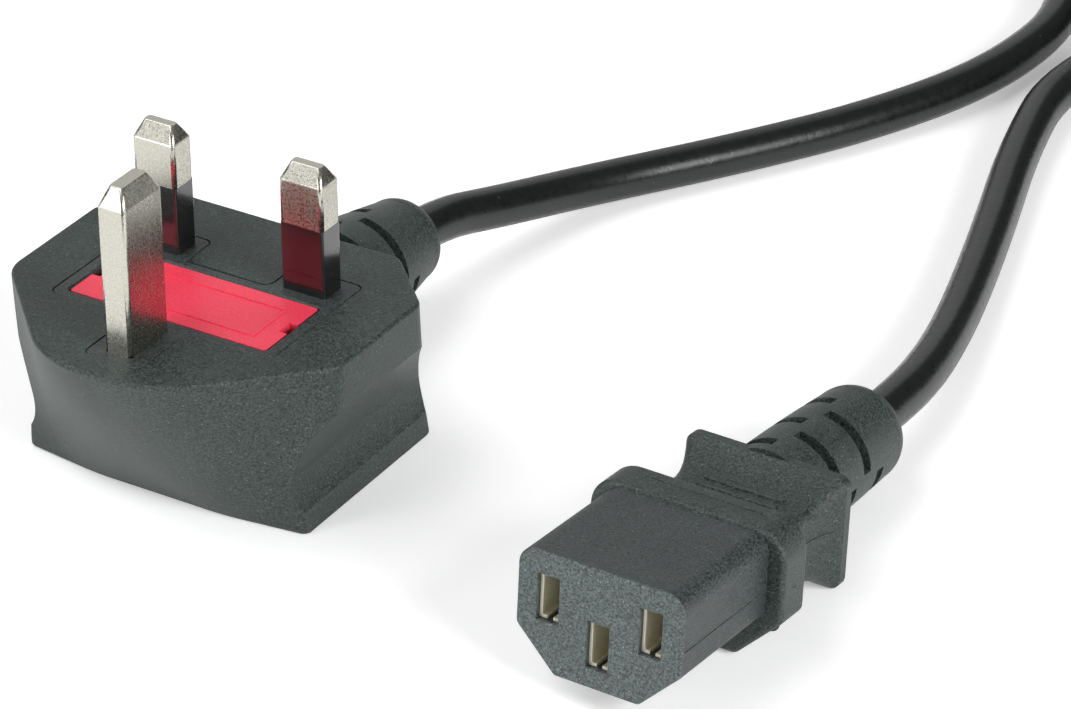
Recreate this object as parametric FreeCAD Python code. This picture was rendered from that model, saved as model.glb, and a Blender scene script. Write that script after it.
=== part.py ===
import FreeCAD, Part
import math
import os

# UK three pin plug on a mains lead that ends in a flat appliance connector.
# Millimetres. The plug lies on its back with its pins up, as it would on a bench.
# Origin: on the flat back, straight below the middle of the line and neutral pins.
# +Z runs out along the pins, the earth pin lies towards -Y and the cord leaves towards +Y.

V = FreeCAD.Vector

# Plug housing
THICKNESS = 24.0
FACE_HALF_WIDTH = 25.0
FACE_FRONT_Y = -31.8
FACE_NOSE_HALF = 8.2
FACE_SHOULDER_Y = -15.0
FACE_REAR_CUT = 8.6
BACK_HALF_WIDTH = FACE_HALF_WIDTH - 3.5
BACK_FRONT_Y = -19.2
BACK_NOSE_HALF = 9.5
BACK_SHOULDER_Y = -18.0
BACK_REAR_CUT = 1.6
REAR_Y = 12.2
FACE_NOSE_RADIUS = 15.0
BACK_NOSE_RADIUS = 38.0
SIDE_RADIUS = 5.0
REAR_RADIUS = 2.4
BACK_RADIUS = 1.3
RIM_ROUNDING = 0.5
LOFT_STEPS = 6
FLARE_EASE = 0.5

# Finger scoops in both sides
FLANGE_THICKNESS = 3.2
FLANGE_TOP_INSET = 0.5
FLANGE_BACK_INSET = 0.15
SCOOP_TOP = 17.6
SCOOP_LIP = 1.4
SCOOP_LIP_INSET = 1.0
SCOOP_DEPTH = 1.8
SCOOP_LOW = 8.0
SCOOP_FOOT_INSET = 0.4
SCOOP_FOOT_RISE = 1.6

# Pins
PIN_SPACING = 22.23
EARTH_OFFSET = 22.23
PIN_WIDTH = 6.35
PIN_DEPTH = 4.0
PIN_LENGTH = 17.7
EARTH_WIDTH = 4.0
EARTH_DEPTH = 8.0
EARTH_LENGTH = 22.73
PIN_EDGE_RADIUS = 0.35
PIN_TIP_HEIGHT = 2.25
PIN_TIP_WIDTH = 3.95
PIN_TIP_DEPTH = 0.95
EARTH_TIP_HEIGHT = 2.55
EARTH_TIP_WIDTH = 1.3
EARTH_TIP_DEPTH = 5.25
TIP_EDGE_RADIUS = 0.2
SLEEVE_HEIGHT = 9.5
SLEEVE_WALL = 0.4
SLEEVE_SEAT = 3.0
PIN_FOOT_Z = 9.0
EARTH_FOOT_Z = 11.0
EARTH_SHOULDER_Z = 13.5
EARTH_TAB_WIDTH = 2.4
EARTH_TAB_DEPTH = 4.0

# Moulded bridge that holds the pins and the fuse
FUSE_LENGTH = 25.4
CARRIER_LENGTH = FUSE_LENGTH + 4.2
BRIDGE_BOTTOM = 11.0
BRIDGE_HALF_WIDTH = CARRIER_LENGTH / 2 + 2.0
BRIDGE_FRONT_Y = -17.8
BRIDGE_REAR_Y = -2.5
PIN_LOBE_INNER = 6.2
PIN_LOBE_REAR_Y = 3.5
EARTH_LOBE_HALF_WIDTH = 4.3
EARTH_LOBE_FRONT_Y = -28.0
EARTH_LOBE_BOTTOM = 17.0
BRIDGE_CORNER_RADIUS = 1.2
JOINT_LINE = 0.25

# Fuse and its carrier
CARRIER_WIDTH = 12.0
CARRIER_Y = -10.0
CARRIER_SINK = 0.15
CARRIER_PLATE = 2.2
CARRIER_CORNER_RADIUS = 0.5
CARRIER_CLEARANCE = 0.15
POCKET_FLOOR_Z = 13.6
POCKET_CHAMFER = 0.25
NOTCH_WIDTH = 2.4
NOTCH_DEPTH = 1.2
FRAME_INSET = 2.2
FRAME_LINE = 0.35
FRAME_HEIGHT = 0.12
SKIRT_WALL = 0.8
SKIRT_DEPTH = 3.0
GRIP_WALL = 1.4
GRIP_REACH = 1.5
STOP_WALL = 1.2
STOP_WIDTH = 9.0
STOP_BOTTOM_Z = 15.6
FUSE_CAP_DIAMETER = 6.35
FUSE_CAP_LENGTH = 6.0
GRIP_LENGTH = FUSE_LENGTH - 2 * FUSE_CAP_LENGTH - 3.4
FUSE_CAP_END = 0.4
FUSE_CAP_ROUNDING = 0.4
FUSE_TUBE_DIAMETER = 5.9
FUSE_PLAY = 0.05
CLIP_THICKNESS = 0.5
CLIP_WIDTH = 4.0
CLIP_PLAY = 0.08
CLIP_RISE = 2.0
CLIP_FLARE = 0.5
CLIP_FLARE_HEIGHT = 0.8
CLIP_GAP_BELOW = 0.12
CLIP_TAB_WIDTH = 3.0
TAIL_WIDTH = 2.4

# Flexible cord and its three cores
CORD_DIAMETER = 6.0
CORE_DIAMETER = 2.0
CORE_CIRCLE = 1.15
MOULDING_PLAY = 0.05
FUSE_MOUTH_INSET = 0.25
BARREL_DIAMETER = 3.0
BARREL_LENGTH = 5.0
TERMINAL_TAB = 0.8
CORE_Z = 7.5
EARTH_CORE_Z = 9.3
LEAD_CORE_Z = 8.7
LEAD_CORE_X = -6.3
PLUG_SHEATH_Y = 18.0
CORE_STRAIGHT = 3.6
BLUE_BEND = V(-3.4, 14.0, CORE_Z + 1.1)
BROWN_BEND = V(-0.7, 13.0, LEAD_CORE_Z + 2.4)
BROWN_DESCENT_Y = 2.5
GREEN_BEND = V(2.2, 12.0, CORE_Z + 1.0)
GREEN_UNDER_BRIDGE = V(1.2, -3.0, EARTH_CORE_Z - 0.9)

# Strain relief moulded with the plug housing, drooping a little towards the bench
RELIEF_DROOP = 3.0
RELIEF_Z = 11.0
RELIEF_ROOT_RADIUS = 9.0
RELIEF_MID_RADIUS = 7.4
RELIEF_TIP_RADIUS = 6.1
RELIEF_NECK_RADIUS = 4.5
RELIEF_MID = 16.8
RELIEF_TAPER_END = 24.6
RELIEF_LENGTH = 27.4
RELIEF_SLOT_PLACES = (7.7, 11.2, 14.7, 18.2)
SLOT_WIDTH = 1.8
SLOT_DEPTH = 2.5
SLOT_SWEEP = 82.0
NOSE_WIDTH_SHARE = 0.62
NOSE_DEPTH_SHARE = 0.72
RELIEF_INSET = 3.0

# Appliance connector: place of its front face, and how the cord holds it on the bench
CONNECTOR_X = 72.1
CONNECTOR_Y = -32.45
CONNECTOR_LIFT = 2.08
CONNECTOR_TURN = -1.4
CONNECTOR_PITCH = -5.0
CONTACT_LINE_Z = 11.4
CONTACT_SPACING = 14.0
EARTH_DROP = 4.1
SLOT_OPENING_WIDTH = 3.1
SLOT_OPENING_HEIGHT = 6.2
BLOCK_HALF_WIDTH = 11.3
BLOCK_BOTTOM = 1.5
BLOCK_TOP = 17.4
BLOCK_LENGTH = 22.0
BLOCK_CORNER_CUT = 5.5
BLOCK_TOP_RADIUS = 2.4
BLOCK_EDGE_RADIUS = 1.0
BLOCK_FRONT_ROUNDING = 0.4
COLLAR_HALF_WIDTH = 13.6
COLLAR_TOP = 17.8
COLLAR_START = 19.4
COLLAR_END = 25.0
COLLAR_CORNER_CUT = 6.1
COLLAR_TOP_RADIUS = 4.0
COLLAR_EDGE_RADIUS = 1.2
COLLAR_ROUNDING = 0.7
COLLAR_OVERLAP = 0.3
NECK_HALF_WIDTH = 10.6
NECK_BOTTOM = 1.7
NECK_TOP = 17.0
WAIST_HALF_WIDTH = 9.4
WAIST_BOTTOM = 4.2
WAIST_TOP = 14.0
WAIST_DEPTH = 31.5
GRIP_STEPS = 3
GRIP_HALF_WIDTH = 11.3
GRIP_BOTTOM = 1.5
GRIP_TOP = 16.6
GRIP_END = 38.3
GRIP_RIM = 1.3
GRIP_CORNER_RADIUS = 1.5
RIDGE_COUNT = 3
RIDGE_SINK = 0.15
RIDGE_LENGTH = 11.0
RIDGE_PITCH = 1.7
RIDGE_RADIUS = 0.45
CONNECTOR_RELIEF_Z = 10.1
CONNECTOR_RELIEF_ROOT = 7.1
CONNECTOR_RELIEF_TIP = 6.5
CONNECTOR_RELIEF_NECK = 4.7
CONNECTOR_RELIEF_LENGTH = 24.6
CONNECTOR_RELIEF_TAPER = 21.2
CONNECTOR_RELIEF_INSET = 1.0
CONNECTOR_SLOT_PLACES = (1.6, 5.2, 8.9, 12.6, 16.3)
CONNECTOR_SHEATH_DEPTH = 35.0
CONTACT_RECESS = 0.8
CONTACT_LENGTH = 13.0
CONTACT_WALL = 0.4
CONTACT_PLAY = 0.05
CONTACT_TAIL_END = 16.5
CONTACT_BARREL = 4.6
CONTACT_STRIP = 2.4
CONTACT_SEAM = 0.8
CONTACT_CORE_STRAIGHT = 4.6
EARTH_CORE_STRAIGHT = V(0.05, 5.0, -0.15)

# Straight end of the cord that lies half inside each strain relief
ARC_SHARE = 0.45
CORD_LEAD = 12.0
CORD_LEAD_INSIDE = 6.5
BENCH_LIFT = CORD_DIAMETER / 2
# Cord route, plug side: down to the bench and away to the coil
PLUG_ROUTE = (
    V(3.1, 57.5, 6.4),
    V(8.2, 74.5, 3.4),
    V(20.5, 93.0, BENCH_LIFT),
    V(32.5, 112.5, BENCH_LIFT),
    V(41.0, 134.0, BENCH_LIFT),
    V(42.0, 158.0, BENCH_LIFT),
    V(30.2, 176.4, BENCH_LIFT),
)
# Cord route, connector side: down to the bench and away to the coil, leaving it near the top
CONNECTOR_ROUTE = (
    V(73.0, 50.0, 5.1),
    V(69.0, 67.0, 3.6),
    V(62.0, 91.0, BENCH_LIFT),
    V(54.5, 114.5, BENCH_LIFT),
    V(49.8, 136.5, BENCH_LIFT),
    V(59.5, 160.5, BENCH_LIFT + 2.2),
    V(82.0, 173.0, BENCH_LIFT + CORD_DIAMETER),
)

# Wound part of the cord
COIL_X = 60.0
COIL_Y = 211.0
COIL_COLUMNS = 4
COIL_LAYERS = 2
COIL_MIDDLE_RADIUS = 35.0
COIL_ROUNDING = 2.4


def box(x0, x1, y0, y1, z0, z1):
    return Part.makeBox(x1 - x0, y1 - y0, z1 - z0, V(x0, y0, z0))


def mirrored(shape):
    return shape.mirror(V(0, 0, 0), V(1, 0, 0))


def joined(shapes):
    result = shapes[0].fuse(list(shapes[1:])) if len(shapes) > 1 else shapes[0]
    return result.removeSplitter()


def corner_wire(corners):
    """Closed wire through (point, radius) corners, each rounded by an arc of its own radius."""
    count = len(corners)
    rounded = []
    for i, (point, radius) in enumerate(corners):
        before = (corners[i - 1][0] - point).normalize()
        after = (corners[(i + 1) % count][0] - point).normalize()
        half_angle = before.getAngle(after) / 2
        reach = radius / math.tan(half_angle)
        middle = (before + after).normalize() * (radius / math.sin(half_angle) - radius)
        rounded.append((point + before * reach, point + middle, point + after * reach))
    edges = []
    for i, (start, through, end) in enumerate(rounded):
        edges.append(Part.Arc(start, through, end).toShape())
        edges.append(Part.LineSegment(end, rounded[(i + 1) % count][0]).toShape())
    return Part.Wire(edges)


def polygon_prism(points, direction):
    return Part.Face(Part.makePolygon(list(points) + [points[0]])).extrude(direction)


def edges_along(shape, axis):
    """Straight edges parallel to an axis."""
    straight = [e for e in shape.Edges if e.Curve.TypeId == "Part::GeomLine"]
    return [e for e in straight if abs(abs(e.Curve.Direction.dot(axis)) - 1) < 1e-6]


def edges_at_height(shape, z):
    return [e for e in shape.Edges if abs(e.BoundBox.ZMin - z) < 1e-4 and abs(e.BoundBox.ZMax - z) < 1e-4]


def cylinder_along_y(x, z, y0, y1, radius):
    return Part.makeCylinder(radius, y1 - y0, V(x, y0, z), V(0, 1, 0))


def route_wire(points):
    """Straight runs joined by tangent arcs, each as large as its two runs allow."""
    edges = []
    radii = []
    start = points[0]
    for i in range(1, len(points) - 1):
        back = points[i - 1] - points[i]
        ahead = points[i + 1] - points[i]
        shorter = min(back.Length, ahead.Length)
        back.normalize()
        ahead.normalize()
        half_turn = (math.pi - back.getAngle(ahead)) / 2
        reach = ARC_SHARE * shorter
        radius = reach / math.tan(half_turn)
        radii.append(radius)
        middle = (back + ahead).normalize() * (radius / math.cos(half_turn) - radius)
        first = points[i] + back * reach
        last = points[i] + ahead * reach
        edges.append(Part.LineSegment(start, first).toShape())
        edges.append(Part.Arc(first, points[i] + middle, last).toShape())
        start = last
    edges.append(Part.LineSegment(start, points[-1]).toShape())
    return Part.Wire(edges), radii


def tube_along(points, diameter):
    wire, radii = route_wire(points)
    direction = (points[1] - points[0]).normalize()
    section = Part.Wire(Part.makeCircle(diameter / 2, points[0], direction))
    return wire.makePipeShell([section], True, False), wire.Length, radii


def relief_profile(rings, neck_radius, end):
    """Half section of a strain relief: depth and radius pairs, then a rounded nose."""
    last_depth, last_radius = rings[-1]
    points = [V(rings[0][1], rings[0][0], 0)]
    edges = [Part.LineSegment(V(0, rings[0][0], 0), points[0]).toShape()]
    curve = Part.BSplineCurve()
    curve.interpolate([V(radius, depth, 0) for depth, radius in rings])
    edges.append(curve.toShape())
    nose_mid = V(
        blend(NOSE_WIDTH_SHARE, neck_radius, last_radius),
        blend(NOSE_DEPTH_SHARE, last_depth, end),
        0,
    )
    edges.append(Part.Arc(V(last_radius, last_depth, 0), nose_mid, V(neck_radius, end, 0)).toShape())
    edges.append(Part.LineSegment(V(neck_radius, end, 0), V(0, end, 0)).toShape())
    edges.append(Part.LineSegment(V(0, end, 0), V(0, rings[0][0], 0)).toShape())
    return Part.Face(Part.Wire(edges))


def relief_body(rings, neck_radius, end, z):
    body = relief_profile(rings, neck_radius, end).revolve(V(0, 0, 0), V(0, 1, 0), 360)
    body.translate(V(0, 0, z))
    return body


def relief_slots(places, start, radius_at, z):
    """Slots that cover a quarter of the relief each, in pairs that swap sides from ring to ring."""
    cutters = []
    for i, place in enumerate(places):
        y = start + place
        inner = radius_at(place) - SLOT_DEPTH
        first = 45 if i % 2 == len(places) % 2 else 135
        for middle in (first, first + 180):
            sector = Part.makeCylinder(RELIEF_ROOT_RADIUS + 3, SLOT_WIDTH, V(0, 0, 0), V(0, 1, 0), SLOT_SWEEP)
            sector = sector.cut(Part.makeCylinder(inner, SLOT_WIDTH, V(0, 0, 0), V(0, 1, 0)))
            sector.rotate(V(0, 0, 0), V(0, 1, 0), slot_turn(sector, middle))
            sector.translate(V(0, y - SLOT_WIDTH / 2, z))
            cutters.append(sector)
    return cutters


def slot_turn(sector, middle):
    """Turn about +Y that brings a sector's middle to an angle measured from +X towards +Z."""
    centre = sector.Solids[0].CenterOfMass
    now = math.degrees(math.atan2(centre.z, centre.x))
    return now - middle


def blend(share, low, high):
    return low + (high - low) * share


def housing_outline(z):
    """Outline of the plug housing at a height: an octagon at the face, nearly a rectangle at the back."""
    t = z / THICKNESS
    share = blend(FLARE_EASE, t, math.sin(math.pi / 2 * t))
    half = blend(share, BACK_HALF_WIDTH, FACE_HALF_WIDTH)
    front = blend(share, BACK_FRONT_Y, FACE_FRONT_Y)
    nose_half = blend(share, BACK_NOSE_HALF, FACE_NOSE_HALF)
    shoulder = blend(share, BACK_SHOULDER_Y, FACE_SHOULDER_Y)
    rear_cut = blend(share, BACK_REAR_CUT, FACE_REAR_CUT)
    nose = blend(share, BACK_NOSE_RADIUS, FACE_NOSE_RADIUS)
    side = blend(share, BACK_RADIUS, SIDE_RADIUS)
    rear = blend(share, BACK_RADIUS, REAR_RADIUS)
    right = [
        (V(nose_half, front, z), nose),
        (V(half, shoulder, z), side),
        (V(half, REAR_Y - rear_cut, z), rear),
        (V(half - rear_cut, REAR_Y, z), rear),
    ]
    left = [(V(-p.x, p.y, p.z), r) for p, r in reversed(right)]
    return corner_wire(right + left)


def finger_scoop():
    """Cutter for the right-hand finger scoop: an undercut wall above a thin flange."""
    top_x = FACE_HALF_WIDTH + 0.1
    lip_x = top_x - SCOOP_LIP
    deep_x = BACK_HALF_WIDTH - SCOOP_DEPTH
    out_x = FACE_HALF_WIDTH + 4
    lip = V(lip_x, 0, SCOOP_TOP - SCOOP_LIP)
    low = V(deep_x, 0, SCOOP_LOW)
    flange = V(BACK_HALF_WIDTH - FLANGE_TOP_INSET, 0, FLANGE_THICKNESS)
    back = V(BACK_HALF_WIDTH - FLANGE_BACK_INSET, 0, -1)
    wall_mid = (lip + low) * 0.5 + V(-SCOOP_LIP_INSET / 2, 0, 0)
    foot_mid = V(deep_x + SCOOP_FOOT_INSET, 0, FLANGE_THICKNESS + SCOOP_FOOT_RISE)
    edges = [
        Part.LineSegment(V(out_x, 0, SCOOP_TOP), V(top_x, 0, SCOOP_TOP)).toShape(),
        Part.LineSegment(V(top_x, 0, SCOOP_TOP), lip).toShape(),
        Part.Arc(lip, wall_mid, low).toShape(),
        Part.Arc(low, foot_mid, flange).toShape(),
        Part.LineSegment(flange, back).toShape(),
        Part.LineSegment(back, V(out_x, 0, back.z)).toShape(),
        Part.LineSegment(V(out_x, 0, back.z), V(out_x, 0, SCOOP_TOP)).toShape(),
    ]
    face = Part.Face(Part.Wire(edges))
    face.translate(V(0, FACE_FRONT_Y - 5, 0))
    return face.extrude(V(0, REAR_Y - FACE_FRONT_Y + 10, 0))


def plug_relief_radius(place):
    if place < RELIEF_MID:
        return blend(place / RELIEF_MID, RELIEF_ROOT_RADIUS, RELIEF_MID_RADIUS)
    share = (place - RELIEF_MID) / (RELIEF_TAPER_END - RELIEF_MID)
    return blend(share, RELIEF_MID_RADIUS, RELIEF_TIP_RADIUS)


def drooped(shape):
    """Tilts a piece of the plug's strain relief down about the housing's rear wall."""
    copy = shape.copy()
    copy.rotate(V(0, REAR_Y, RELIEF_Z), V(1, 0, 0), -RELIEF_DROOP)
    return copy


def drooped_point(point):
    pivot = V(0, REAR_Y, RELIEF_Z)
    return FreeCAD.Rotation(V(1, 0, 0), -RELIEF_DROOP).multVec(point - pivot) + pivot


def plug_shell():
    heights = [THICKNESS * i / (LOFT_STEPS - 1) for i in range(LOFT_STEPS)]
    shell = Part.makeLoft([housing_outline(z) for z in heights], True, False)
    rims = edges_at_height(shell, THICKNESS) + edges_at_height(shell, 0)
    shell = shell.makeFillet(RIM_ROUNDING, rims)
    shell = shell.cut([finger_scoop(), mirrored(finger_scoop())])
    rings = [
        (REAR_Y - RELIEF_INSET, RELIEF_ROOT_RADIUS),
        (REAR_Y, RELIEF_ROOT_RADIUS),
        (REAR_Y + RELIEF_MID, RELIEF_MID_RADIUS),
        (REAR_Y + RELIEF_TAPER_END, RELIEF_TIP_RADIUS),
    ]
    relief = relief_body(rings, RELIEF_NECK_RADIUS, REAR_Y + RELIEF_LENGTH, RELIEF_Z)
    shell = shell.fuse(drooped(relief))
    slots = relief_slots(RELIEF_SLOT_PLACES, REAR_Y, plug_relief_radius, RELIEF_Z)
    return shell.cut([drooped(slot) for slot in slots])


def bridge_blank():
    """Outer form of the bridge: a bar round the fuse with a lobe at each pin."""
    top = THICKNESS
    bar = box(-BRIDGE_HALF_WIDTH, BRIDGE_HALF_WIDTH, BRIDGE_FRONT_Y, BRIDGE_REAR_Y, BRIDGE_BOTTOM, top)
    lobe = box(PIN_LOBE_INNER, BRIDGE_HALF_WIDTH, BRIDGE_REAR_Y - 2, PIN_LOBE_REAR_Y, BRIDGE_BOTTOM, top)
    earth = box(
        -EARTH_LOBE_HALF_WIDTH,
        EARTH_LOBE_HALF_WIDTH,
        EARTH_LOBE_FRONT_Y,
        BRIDGE_FRONT_Y + 2,
        EARTH_LOBE_BOTTOM,
        top,
    )
    blank = joined([bar, lobe, mirrored(lobe), earth])
    return blank.makeFillet(BRIDGE_CORNER_RADIUS, edges_along(blank, V(0, 0, 1)))


def rounded_bar(width, depth, radius, x, y, z0, z1):
    bar = box(x - width / 2, x + width / 2, y - depth / 2, y + depth / 2, z0, z1)
    return bar.makeFillet(radius, edges_along(bar, V(0, 0, 1)))


def pin_tip(bar, width, depth, tip_width, tip_depth, tip_height, x, y, top):
    """Bevels the end of a pin to a small flat and eases the bevel's edges."""
    low = top - tip_height
    bottom = bar.BoundBox.ZMin

    def frame(w, d, z):
        corners = [(-1, -1), (1, -1), (1, 1), (-1, 1), (-1, -1)]
        return Part.makePolygon([V(x + sx * w / 2, y + sy * d / 2, z) for sx, sy in corners])

    wedge = Part.makeLoft([frame(width, depth, low), frame(tip_width, tip_depth, top)], True, True)
    column = box(x - width / 2, x + width / 2, y - depth / 2, y + depth / 2, bottom, low)
    pin = bar.common(column.fuse(wedge).removeSplitter())
    crown = [e for e in pin.Edges if e.BoundBox.ZMin > low + 1e-3 and e.Curve.TypeId == "Part::GeomLine"]
    return pin.makeFillet(TIP_EDGE_RADIUS, crown)


def current_pin(x):
    top = THICKNESS + PIN_LENGTH
    shoulder = THICKNESS + SLEEVE_HEIGHT
    bar = rounded_bar(PIN_WIDTH, PIN_DEPTH, PIN_EDGE_RADIUS, x, 0, shoulder, top)
    tip = pin_tip(bar, PIN_WIDTH, PIN_DEPTH, PIN_TIP_WIDTH, PIN_TIP_DEPTH, PIN_TIP_HEIGHT, x, 0, top)
    shank = pin_shank(x, 0.0, PIN_FOOT_Z, shoulder)
    return tip.fuse(shank)


def pin_shank(x, play, z0, z1):
    width = PIN_WIDTH - 2 * SLEEVE_WALL + 2 * play
    depth = PIN_DEPTH - 2 * SLEEVE_WALL + 2 * play
    return box(x - width / 2, x + width / 2, -depth / 2, depth / 2, z0, z1)


def pin_sleeve(x):
    low = THICKNESS - SLEEVE_SEAT
    high = THICKNESS + SLEEVE_HEIGHT
    outer = rounded_bar(PIN_WIDTH, PIN_DEPTH, PIN_EDGE_RADIUS, x, 0, low, high)
    return outer.cut(pin_shank(x, 0.0, low, high))


def earth_pin():
    top = THICKNESS + EARTH_LENGTH
    y = -EARTH_OFFSET
    bar = earth_bar(EARTH_SHOULDER_Z, top)
    pin = pin_tip(bar, EARTH_WIDTH, EARTH_DEPTH, EARTH_TIP_WIDTH, EARTH_TIP_DEPTH, EARTH_TIP_HEIGHT, 0, y, top)
    return pin.fuse(earth_tab(0.0))


def earth_bar(z0, z1):
    return rounded_bar(EARTH_WIDTH, EARTH_DEPTH, PIN_EDGE_RADIUS, 0, -EARTH_OFFSET, z0, z1)


def earth_tab(play):
    half_width = EARTH_TAB_WIDTH / 2 + play
    half_depth = EARTH_TAB_DEPTH / 2 + play
    y = -EARTH_OFFSET
    return box(-half_width, half_width, y - half_depth, y + half_depth, EARTH_FOOT_Z, EARTH_SHOULDER_Z)


def fuse_z():
    return POCKET_FLOOR_Z + CLIP_THICKNESS + CLIP_GAP_BELOW + FUSE_CAP_DIAMETER / 2


def clip_x():
    return (FUSE_LENGTH - FUSE_CAP_LENGTH) / 2


def fuse_clip(side):
    """Spring clip under one cap of the fuse: a base, two upright arms and flared lips."""
    inner = FUSE_CAP_DIAMETER / 2 + CLIP_PLAY
    outer = inner + CLIP_THICKNESS
    floor = POCKET_FLOOR_Z
    seat = floor + CLIP_THICKNESS
    neck = fuse_z() + CLIP_RISE
    lip = neck + CLIP_FLARE_HEIGHT
    half = [
        (outer, floor),
        (outer, neck),
        (outer + CLIP_FLARE, lip),
        (inner + CLIP_FLARE, lip),
        (inner, neck),
        (inner, seat),
    ]
    x = side * clip_x() - CLIP_WIDTH / 2
    right = [V(x, CARRIER_Y + y, z) for y, z in half]
    left = [V(x, CARRIER_Y - y, z) for y, z in reversed(half)]
    return polygon_prism(right + left, V(CLIP_WIDTH, 0, 0))


def pin_clip_tab(play):
    """Strip from the right-hand clip to the side of the line pin."""
    x = clip_x()
    half = CLIP_TAB_WIDTH / 2 + play
    shank_side = -PIN_DEPTH / 2 + SLEEVE_WALL
    start = CARRIER_Y + FUSE_CAP_DIAMETER / 2 + CLIP_PLAY
    return box(x - half, x + half, start, shank_side, POCKET_FLOOR_Z - play, POCKET_FLOOR_Z + CLIP_THICKNESS + play)


def lead_clip_tongue():
    x0 = -clip_x()
    x1 = LEAD_CORE_X + TAIL_WIDTH / 2
    y1 = CARRIER_Y + CLIP_THICKNESS
    return box(x0, x1, y1 - TAIL_WIDTH, y1, POCKET_FLOOR_Z, POCKET_FLOOR_Z + CLIP_THICKNESS)


def lead_clip_tail(play):
    """Strip down through the bridge and the barrel that grips the line core."""
    x = LEAD_CORE_X
    half = TAIL_WIDTH / 2 + play
    y0 = CARRIER_Y - play
    y1 = CARRIER_Y + CLIP_THICKNESS + play
    strip = box(x - half, x + half, y0, y1, LEAD_CORE_Z, POCKET_FLOOR_Z + CLIP_THICKNESS)
    barrel = cylinder_along_y(
        x,
        LEAD_CORE_Z,
        CARRIER_Y - play,
        CARRIER_Y + BARREL_LENGTH,
        BARREL_DIAMETER / 2 + play,
    )
    return strip.fuse(barrel)


def pin_terminal(x, y, tab_half_depth, foot_z, core_z, play):
    """Tab welded under a pin's foot, with a barrel behind it for the core."""
    tab = box(
        x - BARREL_DIAMETER / 2 - play,
        x + BARREL_DIAMETER / 2 + play,
        y - tab_half_depth - play,
        y + tab_half_depth + play,
        foot_z - TERMINAL_TAB - play,
        foot_z,
    )
    end = y + tab_half_depth + BARREL_LENGTH
    barrel = cylinder_along_y(x, core_z, y + tab_half_depth - 1, end, BARREL_DIAMETER / 2 + play)
    return tab.fuse(barrel)


def neutral_terminal(play=0.0):
    return pin_terminal(-PIN_SPACING / 2, 0, PIN_DEPTH / 2 - SLEEVE_WALL, PIN_FOOT_Z, CORE_Z, play)


def earth_terminal(play=0.0):
    return pin_terminal(0, -EARTH_OFFSET, EARTH_TAB_DEPTH / 2, EARTH_FOOT_Z, EARTH_CORE_Z, play)


def core_start(angle, y, z):
    a = math.radians(angle)
    return V(CORE_CIRCLE * math.cos(a), y, z + CORE_CIRCLE * math.sin(a))


def plug_core(name, diameter):
    """One core from the end of the sheath to its terminal."""
    neutral_end = PIN_DEPTH / 2 - SLEEVE_WALL + BARREL_LENGTH
    earth_end = -EARTH_OFFSET + EARTH_TAB_DEPTH / 2 + BARREL_LENGTH
    line_end = CARRIER_Y + BARREL_LENGTH
    neutral_x = -PIN_SPACING / 2
    routes = {
        "blue": (
            drooped_point(core_start(210, PLUG_SHEATH_Y, RELIEF_Z)),
            BLUE_BEND,
            V(neutral_x, neutral_end + CORE_STRAIGHT, CORE_Z),
            V(neutral_x, neutral_end, CORE_Z),
        ),
        "brown": (
            drooped_point(core_start(90, PLUG_SHEATH_Y, RELIEF_Z)),
            BROWN_BEND,
            V(LEAD_CORE_X, BROWN_DESCENT_Y, LEAD_CORE_Z),
            V(LEAD_CORE_X, line_end, LEAD_CORE_Z),
        ),
        "green_yellow": (
            drooped_point(core_start(330, PLUG_SHEATH_Y, RELIEF_Z)),
            GREEN_BEND,
            GREEN_UNDER_BRIDGE,
            V(0, earth_end, EARTH_CORE_Z),
        ),
    }
    return tube_along(routes[name], diameter)[0]


def fuse_carrier():
    """Red carrier: plate with a prise notch at each end, skirts, end stops and arms round the fuse."""
    top = THICKNESS - CARRIER_SINK
    under = top - CARRIER_PLATE
    half_l = CARRIER_LENGTH / 2
    half_w = CARRIER_WIDTH / 2
    y = CARRIER_Y
    plate = rounded_bar(CARRIER_LENGTH, CARRIER_WIDTH, CARRIER_CORNER_RADIUS, 0, y, under, top)
    skirt = box(-half_l + 1, half_l - 1, y + half_w - SKIRT_WALL, y + half_w, under - SKIRT_DEPTH, under)
    other_skirt = skirt.translated(V(0, -CARRIER_WIDTH + SKIRT_WALL, 0))
    stop_x = FUSE_LENGTH / 2 + 2 * FUSE_PLAY
    stop = box(stop_x, stop_x + STOP_WALL, y - STOP_WIDTH / 2, y + STOP_WIDTH / 2, STOP_BOTTOM_Z, under)
    tube_radius = FUSE_TUBE_DIAMETER / 2 + FUSE_PLAY
    arm_half = tube_radius + GRIP_WALL
    arms = box(-GRIP_LENGTH / 2, GRIP_LENGTH / 2, y - arm_half, y + arm_half, fuse_z() - GRIP_REACH, under)
    bore = Part.makeCylinder(tube_radius, FUSE_LENGTH, V(-FUSE_LENGTH / 2, y, fuse_z()), V(1, 0, 0))
    mouth_half = tube_radius - FUSE_MOUTH_INSET
    mouth = box(-GRIP_LENGTH / 2, GRIP_LENGTH / 2, y - mouth_half, y + mouth_half, POCKET_FLOOR_Z, fuse_z() - 1)
    arms = arms.cut([bore, mouth])
    carrier = joined([plate, skirt, other_skirt, stop, mirrored(stop), arms])
    notch = box(half_l - NOTCH_DEPTH, half_l + 1, y - NOTCH_WIDTH / 2, y + NOTCH_WIDTH / 2, under, top + 1)
    carrier = carrier.cut([notch, mirrored(notch)])
    return carrier.fuse(carrier_frame(top))


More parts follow.
